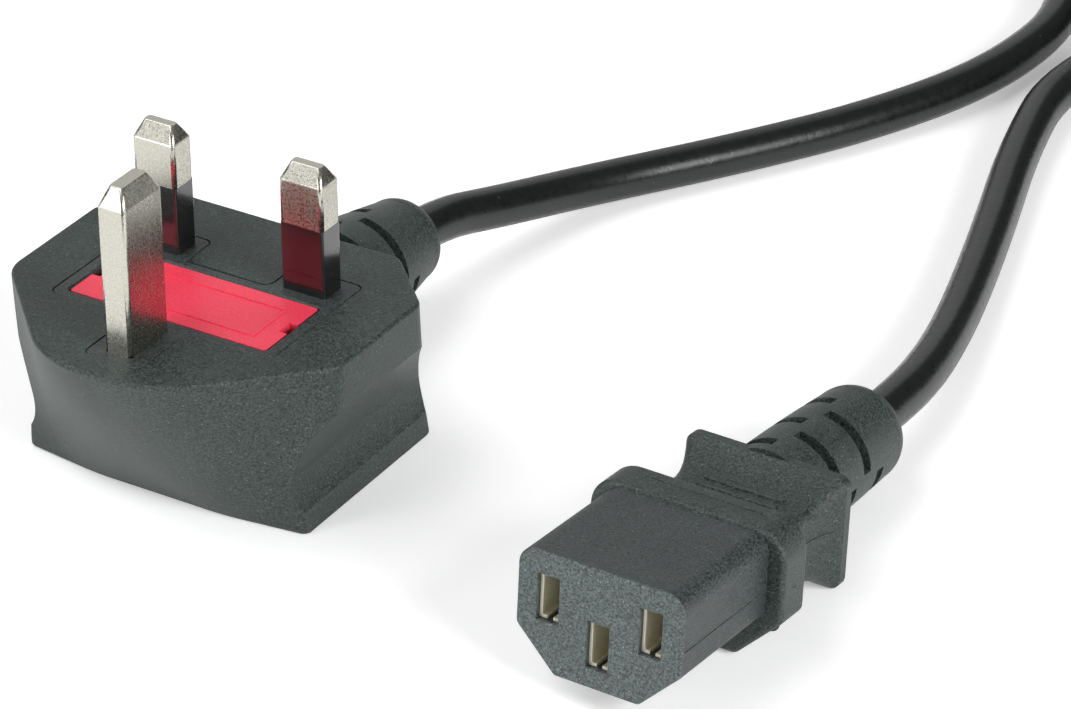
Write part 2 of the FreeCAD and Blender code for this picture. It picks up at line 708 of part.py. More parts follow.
def carrier_frame(top):
    """Fine raised border on the carrier's plate."""
    half_l = CARRIER_LENGTH / 2 - FRAME_INSET - 1
    half_w = CARRIER_WIDTH / 2 - FRAME_INSET
    outer = box(-half_l, half_l, CARRIER_Y - half_w, CARRIER_Y + half_w, top - 0.2, top + FRAME_HEIGHT)
    inner_l = half_l - FRAME_LINE
    inner_w = half_w - FRAME_LINE
    inner = box(-inner_l, inner_l, CARRIER_Y - inner_w, CARRIER_Y + inner_w, top - 1, top + 1)
    return outer.cut(inner)


def fuse_tube():
    length = FUSE_LENGTH - 2 * FUSE_CAP_END
    return Part.makeCylinder(FUSE_TUBE_DIAMETER / 2, length, V(-length / 2, CARRIER_Y, fuse_z()), V(1, 0, 0))


def fuse_cap(side):
    start = FUSE_LENGTH / 2 - FUSE_CAP_LENGTH
    cap = Part.makeCylinder(FUSE_CAP_DIAMETER / 2, FUSE_CAP_LENGTH, V(start, CARRIER_Y, fuse_z()), V(1, 0, 0))
    cap = cap.makeFillet(FUSE_CAP_ROUNDING, [max(cap.Edges, key=lambda e: e.CenterOfMass.x)])
    cap = cap.cut(fuse_tube())
    return cap if side > 0 else mirrored(cap)


def inner_bridge():
    bridge = bridge_blank()
    bridge = bridge.makeChamfer(JOINT_LINE, edges_at_height(bridge, THICKNESS))
    pocket = rounded_bar(
        CARRIER_LENGTH + 2 * CARRIER_CLEARANCE,
        CARRIER_WIDTH + 2 * CARRIER_CLEARANCE,
        CARRIER_CORNER_RADIUS,
        0,
        CARRIER_Y,
        POCKET_FLOOR_Z,
        THICKNESS + 1,
    )
    bridge = bridge.cut(pocket)
    half_l = CARRIER_LENGTH / 2 + CARRIER_CLEARANCE + 0.01
    half_w = CARRIER_WIDTH / 2 + CARRIER_CLEARANCE + 0.01
    mouth = [
        e
        for e in edges_at_height(bridge, THICKNESS)
        if abs(e.CenterOfMass.x) <= half_l and abs(e.CenterOfMass.y - CARRIER_Y) <= half_w
    ]
    bridge = bridge.makeChamfer(POCKET_CHAMFER, mouth)
    seat = THICKNESS - SLEEVE_SEAT
    cutters = [
        pin_clip_tab(MOULDING_PLAY),
        lead_clip_tail(MOULDING_PLAY),
        earth_bar(EARTH_SHOULDER_Z, THICKNESS + 1),
    ]
    for side in (-1, 1):
        x = side * PIN_SPACING / 2
        cutters.append(rounded_bar(PIN_WIDTH, PIN_DEPTH, PIN_EDGE_RADIUS, x, 0, seat, THICKNESS + 1))
        cutters.append(pin_shank(x, 0.0, BRIDGE_BOTTOM - 1, seat))
    return bridge.cut(cutters)


def plug_body():
    """Soft outer moulding over the bridge, terminals and cores, with the strain relief as one piece."""
    cutters = [
        bridge_blank(),
        lead_clip_tail(MOULDING_PLAY),
        neutral_terminal(MOULDING_PLAY),
        earth_terminal(MOULDING_PLAY),
        earth_bar(EARTH_SHOULDER_Z, THICKNESS),
        earth_tab(MOULDING_PLAY),
        drooped(
            cylinder_along_y(
                0,
                RELIEF_Z,
                PLUG_SHEATH_Y,
                REAR_Y + RELIEF_LENGTH,
                CORD_DIAMETER / 2 + MOULDING_PLAY,
            )
        ),
    ]
    for side in (-1, 1):
        cutters.append(pin_shank(side * PIN_SPACING / 2, MOULDING_PLAY, PIN_FOOT_Z, BRIDGE_BOTTOM))
    body = plug_shell().cut(cutters)
    for name in ("blue", "brown", "green_yellow"):
        body = body.cut(plug_core(name, CORE_DIAMETER + 2 * MOULDING_PLAY))
    return body


def placed(shape):
    """Sets a connector piece, drawn with its face at y = 0, down on the bench beside the plug."""
    copy = shape.copy()
    copy.rotate(V(0, 0, CONTACT_LINE_Z), V(1, 0, 0), CONNECTOR_PITCH)
    copy.rotate(V(0, 0, 0), V(0, 0, 1), CONNECTOR_TURN)
    copy.translate(V(CONNECTOR_X, CONNECTOR_Y, CONNECTOR_LIFT))
    return copy


def placed_point(point):
    line = V(0, 0, CONTACT_LINE_Z)
    pitched = FreeCAD.Rotation(V(1, 0, 0), CONNECTOR_PITCH).multVec(point - line) + line
    turned = FreeCAD.Rotation(V(0, 0, 1), CONNECTOR_TURN).multVec(pitched)
    return turned + V(CONNECTOR_X, CONNECTOR_Y, CONNECTOR_LIFT)


def cut_corner_outline(half, bottom, top, cut, top_radius, edge_radius, y):
    """Outline of the connector's block or collar: two cut corners below, two rounded ones above."""
    right = [
        (V(half - cut, y, bottom), edge_radius),
        (V(half, y, bottom + cut), edge_radius),
        (V(half, y, top), top_radius),
    ]
    left = [(V(-p.x, p.y, p.z), r) for p, r in reversed(right)]
    return corner_wire(right + left)


def plain_outline(half, bottom, top, radius, y):
    corners = [V(-half, y, bottom), V(half, y, bottom), V(half, y, top), V(-half, y, top)]
    return corner_wire([(c, radius) for c in corners])


def contact_places():
    half = CONTACT_SPACING / 2
    return {
        "line": (half, CONTACT_LINE_Z),
        "neutral": (-half, CONTACT_LINE_Z),
        "earth": (0, CONTACT_LINE_Z - EARTH_DROP),
    }


def contact_block():
    outline = cut_corner_outline(
        BLOCK_HALF_WIDTH,
        BLOCK_BOTTOM,
        BLOCK_TOP,
        BLOCK_CORNER_CUT,
        BLOCK_TOP_RADIUS,
        BLOCK_EDGE_RADIUS,
        0,
    )
    block = Part.Face(outline).extrude(V(0, BLOCK_LENGTH, 0))
    front = [e for e in block.Edges if e.BoundBox.YMax < 1e-4]
    block = block.makeFillet(BLOCK_FRONT_ROUNDING, front)
    half_w = SLOT_OPENING_WIDTH / 2
    half_h = SLOT_OPENING_HEIGHT / 2
    slots = []
    for x, z in contact_places().values():
        slots.append(box(x - half_w, x + half_w, -1, BLOCK_LENGTH + 1, z - half_h, z + half_h))
    return block.cut(slots)


def socket_contact(x, z):
    """Folded sleeve for a flat pin, with a strip and a barrel behind it for the core."""
    half_w = SLOT_OPENING_WIDTH / 2 - CONTACT_PLAY
    half_h = SLOT_OPENING_HEIGHT / 2 - CONTACT_PLAY
    y0 = CONTACT_RECESS
    y1 = y0 + CONTACT_LENGTH
    outer = box(x - half_w, x + half_w, y0, y1, z - half_h, z + half_h)
    inner = box(
        x - half_w + CONTACT_WALL,
        x + half_w - CONTACT_WALL,
        y0 - 1,
        y1 + 1,
        z - half_h + CONTACT_WALL,
        z + half_h - CONTACT_WALL,
    )
    seam = box(x - CONTACT_SEAM / 2, x + CONTACT_SEAM / 2, y0 - 1, y1 + 1, z - half_h - 1, z)
    sleeve = outer.cut([inner, seam])
    half_strip = CONTACT_STRIP / 2
    strip = box(x + half_w - CONTACT_WALL, x + half_w, y1 - 1, CONTACT_TAIL_END, z - half_strip, z + half_strip)
    barrel = cylinder_along_y(x, z, CONTACT_TAIL_END - 0.5, CONTACT_TAIL_END + CONTACT_BARREL, half_w)
    return joined([sleeve, strip, barrel])


def connector_core(name, diameter):
    x, z = contact_places()[name]
    start = core_start({"line": 30, "neutral": 150, "earth": 270}[name], CONNECTOR_SHEATH_DEPTH, CONNECTOR_RELIEF_Z)
    end = V(x, CONTACT_TAIL_END + CONTACT_BARREL, z)
    lead = end + (EARTH_CORE_STRAIGHT if name == "earth" else V(0, CONTACT_CORE_STRAIGHT, 0))
    near = start + (lead - start) * 0.15 + V(0, -1.2, 0)
    return tube_along((start, near, lead, end), diameter)[0]


def connector_relief_radius(place):
    return blend(place / CONNECTOR_RELIEF_TAPER, CONNECTOR_RELIEF_ROOT, CONNECTOR_RELIEF_TIP)


def grip_section(y):
    """Half width, bottom and top of the grip at a depth: narrowest at the waist, sweeping out both ways."""
    if y < WAIST_DEPTH:
        share = ((WAIST_DEPTH - y) / (WAIST_DEPTH - COLLAR_END)) ** 2
        end = (NECK_HALF_WIDTH, NECK_BOTTOM, NECK_TOP)
    else:
        share = ((y - WAIST_DEPTH) / (GRIP_END - WAIST_DEPTH)) ** 2
        end = (GRIP_HALF_WIDTH, GRIP_BOTTOM, GRIP_TOP)
    waist = (WAIST_HALF_WIDTH, WAIST_BOTTOM, WAIST_TOP)
    return [blend(share, low, high) for low, high in zip(waist, end)]


def grip_sweep():
    """Smooth loft from inside the collar through the waist to the rim of the grip."""
    depths = [blend(i / GRIP_STEPS, COLLAR_END - COLLAR_OVERLAP, WAIST_DEPTH) for i in range(GRIP_STEPS)]
    depths += [blend(i / GRIP_STEPS, WAIST_DEPTH, GRIP_END) for i in range(GRIP_STEPS + 1)]
    sections = [plain_outline(*grip_section(y), GRIP_CORNER_RADIUS, y) for y in depths]
    return Part.makeLoft(sections, True, False)


def grip_ridges():
    """Three low ribs across the upper and the lower side of the grip's waist."""
    ribs = []
    for k in range(RIDGE_COUNT):
        y = WAIST_DEPTH + (k - (RIDGE_COUNT - 1) / 2) * RIDGE_PITCH
        bottom, top = grip_section(y)[1:]
        for z in (bottom + RIDGE_SINK, top - RIDGE_SINK):
            ribs.append(Part.makeCylinder(RIDGE_RADIUS, RIDGE_LENGTH, V(-RIDGE_LENGTH / 2, y, z), V(1, 0, 0)))
    return ribs


def connector_body():
    """Soft moulding behind the block: collar, waist, flared grip and slotted strain relief."""
    outline = cut_corner_outline(
        COLLAR_HALF_WIDTH,
        0,
        COLLAR_TOP,
        COLLAR_CORNER_CUT,
        COLLAR_TOP_RADIUS,
        COLLAR_EDGE_RADIUS,
        COLLAR_START,
    )
    collar = Part.Face(outline).extrude(V(0, COLLAR_END - COLLAR_START, 0))
    collar = collar.makeFillet(
        COLLAR_ROUNDING,
        [e for e in collar.Edges if abs(e.BoundBox.YMax - e.BoundBox.YMin) < 1e-4],
    )
    rim_outline = plain_outline(GRIP_HALF_WIDTH, GRIP_BOTTOM, GRIP_TOP, GRIP_CORNER_RADIUS, GRIP_END)
    rim = Part.Face(rim_outline).extrude(V(0, GRIP_RIM, 0))
    start = GRIP_END + GRIP_RIM
    rings = [
        (start - CONNECTOR_RELIEF_INSET, CONNECTOR_RELIEF_ROOT),
        (start, CONNECTOR_RELIEF_ROOT),
        (start + CONNECTOR_RELIEF_TAPER, CONNECTOR_RELIEF_TIP),
    ]
    relief = relief_body(rings, CONNECTOR_RELIEF_NECK, start + CONNECTOR_RELIEF_LENGTH, CONNECTOR_RELIEF_Z)
    body = collar.fuse([grip_sweep(), rim, relief] + grip_ridges()).removeSplitter()
    body = body.cut(relief_slots(CONNECTOR_SLOT_PLACES, start, connector_relief_radius, CONNECTOR_RELIEF_Z))
    block_outline = cut_corner_outline(
        BLOCK_HALF_WIDTH,
        BLOCK_BOTTOM,
        BLOCK_TOP,
        BLOCK_CORNER_CUT,
        BLOCK_TOP_RADIUS,
        BLOCK_EDGE_RADIUS,
        0,
    )
    body = body.cut(Part.Face(block_outline).extrude(V(0, BLOCK_LENGTH, 0)))
    body = body.cut(
        cylinder_along_y(
            0,
            CONNECTOR_RELIEF_Z,
            CONNECTOR_SHEATH_DEPTH,
            start + CONNECTOR_RELIEF_LENGTH,
            CORD_DIAMETER / 2 + MOULDING_PLAY,
        )
    )
    for name in contact_places():
        body = body.cut(connector_core(name, CORE_DIAMETER + 2 * MOULDING_PLAY))
    return body


def plug_exit(beyond):
    return drooped_point(V(0, REAR_Y + RELIEF_LENGTH + beyond, RELIEF_Z))


def connector_exit(beyond):
    depth = GRIP_END + GRIP_RIM + CONNECTOR_RELIEF_LENGTH + beyond
    return placed_point(V(0, depth, CONNECTOR_RELIEF_Z))


def lead_points(exit_at):
    """Both ends of the straight run through the tip of a strain relief."""
    return exit_at(-CORD_LEAD_INSIDE), exit_at(CORD_LEAD - CORD_LEAD_INSIDE)


def coil_solid():
    """Outer shape of the wound cord: a ring with rounded edges."""
    half = COIL_COLUMNS * CORD_DIAMETER / 2
    height = COIL_LAYERS * CORD_DIAMETER
    inner = COIL_MIDDLE_RADIUS - half
    outer = COIL_MIDDLE_RADIUS + half
    corners = [V(inner, 0, 0), V(outer, 0, 0), V(outer, 0, height), V(inner, 0, height)]
    section = Part.Face(corner_wire([(c, COIL_ROUNDING) for c in corners]))
    ring = section.revolve(V(0, 0, 0), V(0, 0, 1), 360)
    ring.translate(V(COIL_X, COIL_Y, 0))
    return ring


def cord_tube(points, label):
    tube, length, radii = tube_along(points, CORD_DIAMETER)
    expected = math.pi * (CORD_DIAMETER / 2) ** 2 * length
    print(label, "length", round(length, 1), "radii", [round(r, 1) for r in radii])
    print(label, "volume share", round(tube.Volume / expected, 4))
    return tube


def sheath_stub(y0, y1, z):
    return cylinder_along_y(0, z, y0, y1, CORD_DIAMETER / 2)


def build():
    line_x = PIN_SPACING / 2
    plug_sheath_stop = REAR_Y + RELIEF_LENGTH - CORD_LEAD_INSIDE
    parts = {
        "plug_body": plug_body(),
        "inner_bridge": inner_bridge(),
        "earth_pin": earth_pin(),
        "line_pin": current_pin(line_x),
        "neutral_pin": current_pin(-line_x),
        "line_pin_sleeve": pin_sleeve(line_x),
        "neutral_pin_sleeve": pin_sleeve(-line_x),
        "fuse_carrier": fuse_carrier(),
        "fuse_tube": fuse_tube(),
        "fuse_cap_right": fuse_cap(1),
        "fuse_cap_left": fuse_cap(-1),
        "pin_fuse_clip": joined([fuse_clip(1), pin_clip_tab(0.0)]),
        "lead_fuse_clip": joined([fuse_clip(-1), lead_clip_tongue(), lead_clip_tail(0.0)]),
        "neutral_terminal": neutral_terminal(),
        "earth_terminal": earth_terminal(),
        "plug_sheath_end": drooped(sheath_stub(PLUG_SHEATH_Y, plug_sheath_stop, RELIEF_Z)),
        "contact_block": placed(contact_block()),
        "connector_body": placed(connector_body()),
        "cord_coil": coil_solid(),
    }
    sheath_end = GRIP_END + GRIP_RIM + CONNECTOR_RELIEF_LENGTH - CORD_LEAD_INSIDE
    stub = sheath_stub(CONNECTOR_SHEATH_DEPTH, sheath_end, CONNECTOR_RELIEF_Z)
    parts["connector_sheath_end"] = placed(stub)
    for name in ("blue", "brown", "green_yellow"):
        core = plug_core(name, CORE_DIAMETER)
        parts["plug_core_" + name] = core.cut([parts["plug_sheath_end"], parts["earth_terminal"]])
    for name, (x, z) in contact_places().items():
        contact = placed(socket_contact(x, z))
        core = placed(connector_core(name, CORE_DIAMETER))
        parts[name + "_contact"] = contact
        parts["connector_core_" + name] = core.cut([contact, parts["connector_sheath_end"]])
    parts["cord_plug_side"] = cord_tube(lead_points(plug_exit) + PLUG_ROUTE, "plug side")
    parts["cord_connector_side"] = cord_tube(
        lead_points(connector_exit) + CONNECTOR_ROUTE,
        "connector side",
    )
    return parts


os.makedirs("parts", exist_ok=True)
for node, shape in build().items():
    solids = shape.Solids
    if len(solids) != 1 or not shape.isValid():
        print("look at", node, len(solids), shape.isValid())
    solids[0].exportStep("parts/" + node + ".step")
    print(node, round(shape.Volume / 1000, 3), "cm3")
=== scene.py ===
import math

import bmesh
import bpy
from bpy.props import FloatProperty, FloatVectorProperty, IntProperty, PointerProperty
from mathutils import Matrix, Quaternion, Vector
from mathutils.bvhtree import BVHTree


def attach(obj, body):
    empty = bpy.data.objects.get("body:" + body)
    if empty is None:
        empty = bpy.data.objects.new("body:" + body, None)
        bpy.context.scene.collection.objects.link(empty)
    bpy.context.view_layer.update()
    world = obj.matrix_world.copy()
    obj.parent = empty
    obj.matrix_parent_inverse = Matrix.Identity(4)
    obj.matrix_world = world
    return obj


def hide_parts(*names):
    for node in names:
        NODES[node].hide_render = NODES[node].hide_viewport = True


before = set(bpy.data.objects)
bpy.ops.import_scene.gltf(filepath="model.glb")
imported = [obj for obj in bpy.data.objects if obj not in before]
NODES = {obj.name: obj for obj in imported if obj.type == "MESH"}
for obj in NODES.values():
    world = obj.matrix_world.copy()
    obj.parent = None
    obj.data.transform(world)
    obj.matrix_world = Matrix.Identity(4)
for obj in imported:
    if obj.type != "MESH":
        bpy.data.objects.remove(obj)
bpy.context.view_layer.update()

bl_info = {
    "name": "Fused plug and lead",
    "version": (1, 0, 0),
    "blender": (4, 5, 0),
    "location": "3D View > Sidebar > Plug lead",
    "description": "Finishes a three pin mains plug, its flex and its appliance connector",
    "category": "Object",
}

# Body that every new piece rides on
BODY = "plug"

# Camera of the photograph: places in metres, roll in degrees, lens and sensor in millimetres
VIEW_FROM = (0.30277, -0.42417, 0.31500)
VIEW_AT = (0.02199, 0.03458, 0.0)
VIEW_ROLL = -0.396
VIEW_LENS = 157.98
VIEW_SENSOR = 36.0
VIEW_SHIFT = 0.00514
VIEW_NEAR = 0.01

# Flex route in metres: out of the plug, down to the bench and away to the coil
PLUG_ROUTE = (
    (0.0, 0.03307, 0.00991),
    (0.0, 0.04506, 0.00928),
    (0.0031, 0.0575, 0.0064),
    (0.0082, 0.0745, 0.0034),
    (0.0205, 0.0930, 0.0030),
    (0.0325, 0.1125, 0.0030),
    (0.0410, 0.1340, 0.0030),
    (0.0420, 0.1580, 0.0030),
    (0.0302, 0.1764, 0.0030),
)
# Out of the connector, down to the bench and up on to the coil
CONNECTOR_ROUTE = (
    (0.07350, 0.02490, 0.00716),
    (0.07379, 0.03685, 0.00611),
    (0.0730, 0.0500, 0.0051),
    (0.0690, 0.0670, 0.0036),
    (0.0620, 0.0910, 0.0030),
    (0.0545, 0.1145, 0.0030),
    (0.0498, 0.1365, 0.0030),
    (0.0595, 0.1605, 0.0052),
    (0.0820, 0.1730, 0.0090),
)
# Steps of the flex's curve between its points
FLEX_STEPS = 8

# Coil of the put-away flex, in metres, degrees and turns, counted from where the flex comes in
COIL_CENTRE = (0.060, 0.211)
COIL_OUTER = 0.044
COIL_INNER = 0.026
COIL_ENTRY = 213.7
COIL_OUTER_LAP = 0.42
COIL_TURNS = 6.72
COIL_CLIMB = 0.45
COIL_STEPS = 16

# Pins in metres: section, lowest and highest point of the bar, the flat on its nose, the nose's
# height, then section and lowest point of the narrow foot that the moulding holds
FLAT_PIN = {
    "size": (0.00635, 0.004),
    "span": (0.0335, 0.0417),
    "flat": (0.0044, 0.0013),
    "nose": 0.00215,
    "foot": (0.00555, 0.0032),
    "foot_low": 0.009,
}
PIN_SHAPES = {
    "line_pin": {"centre": (0.011115, 0.0), **FLAT_PIN},
    "neutral_pin": {"centre": (-0.011115, 0.0), **FLAT_PIN},
    "earth_pin": {
        "centre": (0.0, -0.02223),
        "size": (0.004, 0.008),
        "span": (0.0135, 0.04673),
        "flat": (0.0020, 0.0052),
        "nose": 0.0025,
        "foot": (0.0024, 0.004),
        "foot_low": 0.011,
    },
}
PIN_SEGMENTS = 5
# Rounding of the nose's rims: the edges that are at least so long and turn at least so many radians
NOSE_ROUNDING = 0.00012
NOSE_SEGMENTS = 2
SHORTEST_RIM = 0.0005
LEAST_TURN = 0.4
# Area in square metres under which a pin's face is part of a rounding
WIDEST_ROUNDING = 5.2e-6
# A face points up when its normal rises so far; heights and places closer than these are the same
FACING_UP = 0.9
SAME_HEIGHT = 1e-6
SAME_PLACE = 1e-7

# Moulded fillet where the strain relief meets the plug's rear wall: its centre, then its section
# as distances from the relief's axis and out from the wall
ROOT_CENTRE = (0.0, 0.0122, 0.011)
ROOT_PROFILE = (
    (0.0085, -0.0003),
    (0.0085, 0.0015),
    (0.0087, 0.0015),
    (0.00895, 0.00105),
    (0.0093, 0.00072),
    (0.0098, 0.00045),
    (0.0105, 0.00005),
    (0.0105, -0.0003),
)
ROOT_STEPS = 96

# Front of the connector: its outward axis, how far along it the face lies, the depth over which
# the painted highlight begins, and its tint, a paler colour painted for the light the face catches
FRONT_AXIS = (-0.024339, -0.995897, 0.087156)
FRONT_REACH = 0.031737
FRONT_BLEND = (0.0006, 0.0002)
FRONT_PAINTED_HIGHLIGHT = (2.1, 2.15, 2.15)

# The connector's place: it is turned about its upright, and its rear droops about its middle
CONNECTOR_AT = (0.0721, -0.03245, 0.00208)
CONNECTOR_TURN = -1.4
CONNECTOR_DROOP = -5.0
CONNECTOR_MIDDLE = 0.0114
CONNECTOR_PLACE = (
    Matrix.Translation(CONNECTOR_AT)
    @ Matrix.Rotation(math.radians(CONNECTOR_TURN), 4, "Z")
    @ Matrix.Translation((0.0, 0.0, CONNECTOR_MIDDLE))
    @ Matrix.Rotation(math.radians(CONNECTOR_DROOP), 4, "X")
    @ Matrix.Translation((0.0, 0.0, -CONNECTOR_MIDDLE))
    @ Matrix.Scale(0.001, 4)
)

# Lines that the mould leaves on the connector, in its own millimetres and in degrees: the side
# seams, the joint round the contact block and the bare panel on the collar
SEAM_HEIGHT = 10.1
SEAM_STEPS = (0.8, 5, 10, 15, 19.3, 19.5, 22, 24.8, 25.2, *range(26, 38))
JOINT_DEPTH = 19.25
JOINT_HEIGHT = 10
JOINT_FROM = -36
JOINT_TURN = 252
JOINT_STEPS = 48
PANEL_OUTLINE = ((-8.0, 19.6), (-7.9, 22.9), (8.6, 22.9), (8.7, 19.6))
LINE_RADIUS = 0.00008
# Millimetres that lie clear of the connector, from where its surface is met
WELL_ASIDE = 30
WELL_ABOVE = 40

# Scale of the clouding and of the specks as shares of the grain's, then the noise values between
# which the grain, its roughness and the clouding change, and how far the clouding tints
CLOUD_SCALE = 0.045
SPECK_SCALE = 0.36
GRAIN_BAND = (0.38, 0.62)
ROUGH_BAND = (0.35, 0.65)
CLOUD_BAND = (0.3, 0.7)
CLOUD_TINT = (0.93, 1.07)

# Scuffs in the metal run along the pins; stains dull it between two noise values
SCUFF_SCALE = (2600.0, 2600.0, 110.0)
SCUFF_BAND = (0.0, 0.5)
STAIN_SCALE = 3000.0
STAIN_BAND = (0.35, 0.7)
STAIN_TINT = (0.93, 0.92, 0.89, 1)

# Cores: finish, colour and the pieces that have it
CORES = (
    ("Brown core", (0.16, 0.06, 0.025), ("plug_core_brown", "connector_core_line")),
    ("Blue core", (0.03, 0.12, 0.42), ("plug_core_blue", "connector_core_neutral")),
    ("Green core", (0.22, 0.42, 0.05), ("plug_core_green_yellow", "connector_core_earth")),
)

# Lamps: name, place, size and power
LAMPS = (
    ("Right lamp", (0.88, -0.22, 0.46), 0.45, 8.6),
    ("Front lamp", (-0.45, -1.0, 0.25), 0.5, 4.2),
    ("Top lamp", (-0.45, -0.26, 0.86), 0.8, 5.6),
    ("Back lamp", (-0.50, 0.75, 0.50), 1.0, 1.9),
)
LAMPS_AIM = (0.03, 0.02, 0.01)

# Floor: half its width, how far it lies under the part, and its glow where it is seen or mirrored
FLOOR_REACH = 3.0
FLOOR_DROP = 0.00003
FLOOR_GLOW = 0.32
# Light from all round: heights between which it grows, and the backdrop's own strength
SKY_BAND = (0.1, 0.9)
BACKDROP = 1.0


class FlexSettings(bpy.types.PropertyGroup):
    """Size and colour of the flex"""

    diameter: FloatProperty(
        name="Diameter",
        description="Outside diameter of the flex",
        default=0.006,
        unit="LENGTH",
    )
    sheath: FloatVectorProperty(
        name="Sheath",
        description="Colour of the flex's sheath",
        default=(0.006, 0.0075, 0.007),
        subtype="COLOR",
    )
    sides: IntProperty(
        name="Roundness",
        description="Segments in a quarter of the flex's section",
        default=5,
    )


class MouldingSettings(bpy.types.PropertyGroup):
    """Colours and grain of the moulded plastics"""

    soft: FloatVectorProperty(
        name="Soft moulding",
        description="Colour of the outer mouldings",
        default=(0.024, 0.035, 0.032),
        subtype="COLOR",
    )
    hard: FloatVectorProperty(
        name="Hard insert",
        description="Colour of the bridge round the pins and of the contact block",
        default=(0.030, 0.038, 0.037),
        subtype="COLOR",
    )
    speck: FloatVectorProperty(
        name="Speck",
        description="Colour of the pale specks in the surface",
        default=(0.15, 0.18, 0.17),
        subtype="COLOR",
    )
    grain: FloatProperty(
        name="Grain",
        description="Grain features along one metre of surface",
        default=3400.0,
    )


class MetalSettings(bpy.types.PropertyGroup):
    """Colours of the metals, and the rounding of the pins"""

    nickel: FloatVectorProperty(
        name="Nickel",
        description="Colour of the plated pins",
        default=(0.56, 0.55, 0.49),
        subtype="COLOR",
    )
    rounding: FloatProperty(
        name="Pin rounding",
        description="Radius of the pins' long edges",
        default=0.0005,
        unit="LENGTH",
    )
    brass: FloatVectorProperty(
        name="Brass",
        description="Colour of the fuse's clips and of the terminals",
        default=(0.78, 0.62, 0.33),
        subtype="COLOR",
    )
    tin: FloatVectorProperty(
        name="Tin",
        description="Colour of the connector's contacts",
        default=(0.86, 0.83, 0.70),
        subtype="COLOR",
    )


class FuseSettings(bpy.types.PropertyGroup):
    """Colours of the fuse and its carrier"""

    red: FloatVectorProperty(
        name="Carrier",
        description="Colour of the fuse carrier",
        default=(0.87, 0.050, 0.095),
        subtype="COLOR",
    )
    ceramic: FloatVectorProperty(
        name="Ceramic",
        description="Colour of the fuse's tube",
        default=(0.84, 0.81, 0.74),
        subtype="COLOR",
    )


class StageSettings(bpy.types.PropertyGroup):
    """Floor colour and light from all round"""

    floor: FloatVectorProperty(
        name="Floor",
        description="Colour of the floor",
        default=(0.93, 0.93, 0.93),
        subtype="COLOR",
    )
    ambient: FloatProperty(
        name="Ambient",
        description="Strength of the light from low down",
        default=0.06,
    )
    zenith: FloatProperty(
        name="Zenith",
        description="Strength of the light from straight above",
        default=0.20,
    )


def new_group(name, inputs, outputs):
    """Shader node group with named sockets; gives the group and its two end nodes."""
    group = bpy.data.node_groups.new(name, "ShaderNodeTree")
    for label, kind, value in inputs:
        socket = group.interface.new_socket(label, in_out="INPUT", socket_type=kind)
        socket.default_value = value
    for label, kind in outputs:
        group.interface.new_socket(label, in_out="OUTPUT", socket_type=kind)
    return group, group.nodes.new("NodeGroupInput"), group.nodes.new("NodeGroupOutput")


def add_node(tree, kind, **values):
    """Adds a node; names that the node has are set on it, the others on its inputs."""
    node = tree.nodes.new(kind)
    for key, value in values.items():
        if hasattr(node, key):
            setattr(node, key, value)
        else:
            node.inputs[key.replace("_", " ")].default_value = value
    return node


def feed(tree, target, value):
    """Links an output to an input, or sets a plain value on it."""
    if isinstance(value, bpy.types.NodeSocket):
        tree.links.new(value, target)
    else:
        target.default_value = value


def add_mix(tree, factor, first, second, blend="MIX"):
    """Mix of two colours; gives its colour output."""
    node = add_node(tree, "ShaderNodeMix", data_type="RGBA", blend_type=blend)
    for index, value in ((0, factor), (6, first), (7, second)):
        feed(tree, node.inputs[index], value)
    return node.outputs[2]


def add_range(tree, value, band, result):
    """Carries a value from one pair of limits to another; gives the result."""
    node = add_node(tree, "ShaderNodeMapRange")
    for target, item in zip(node.inputs, (value, *band, *result)):
        feed(tree, target, item)
    return node.outputs[0]


def add_math(tree, operation, first, second):
    """Sum, product or test of two values; gives the result."""
    node = add_node(tree, "ShaderNodeMath", operation=operation)
    for target, item in zip(node.inputs, (first, second)):
        feed(tree, target, item)
    return node.outputs[0]


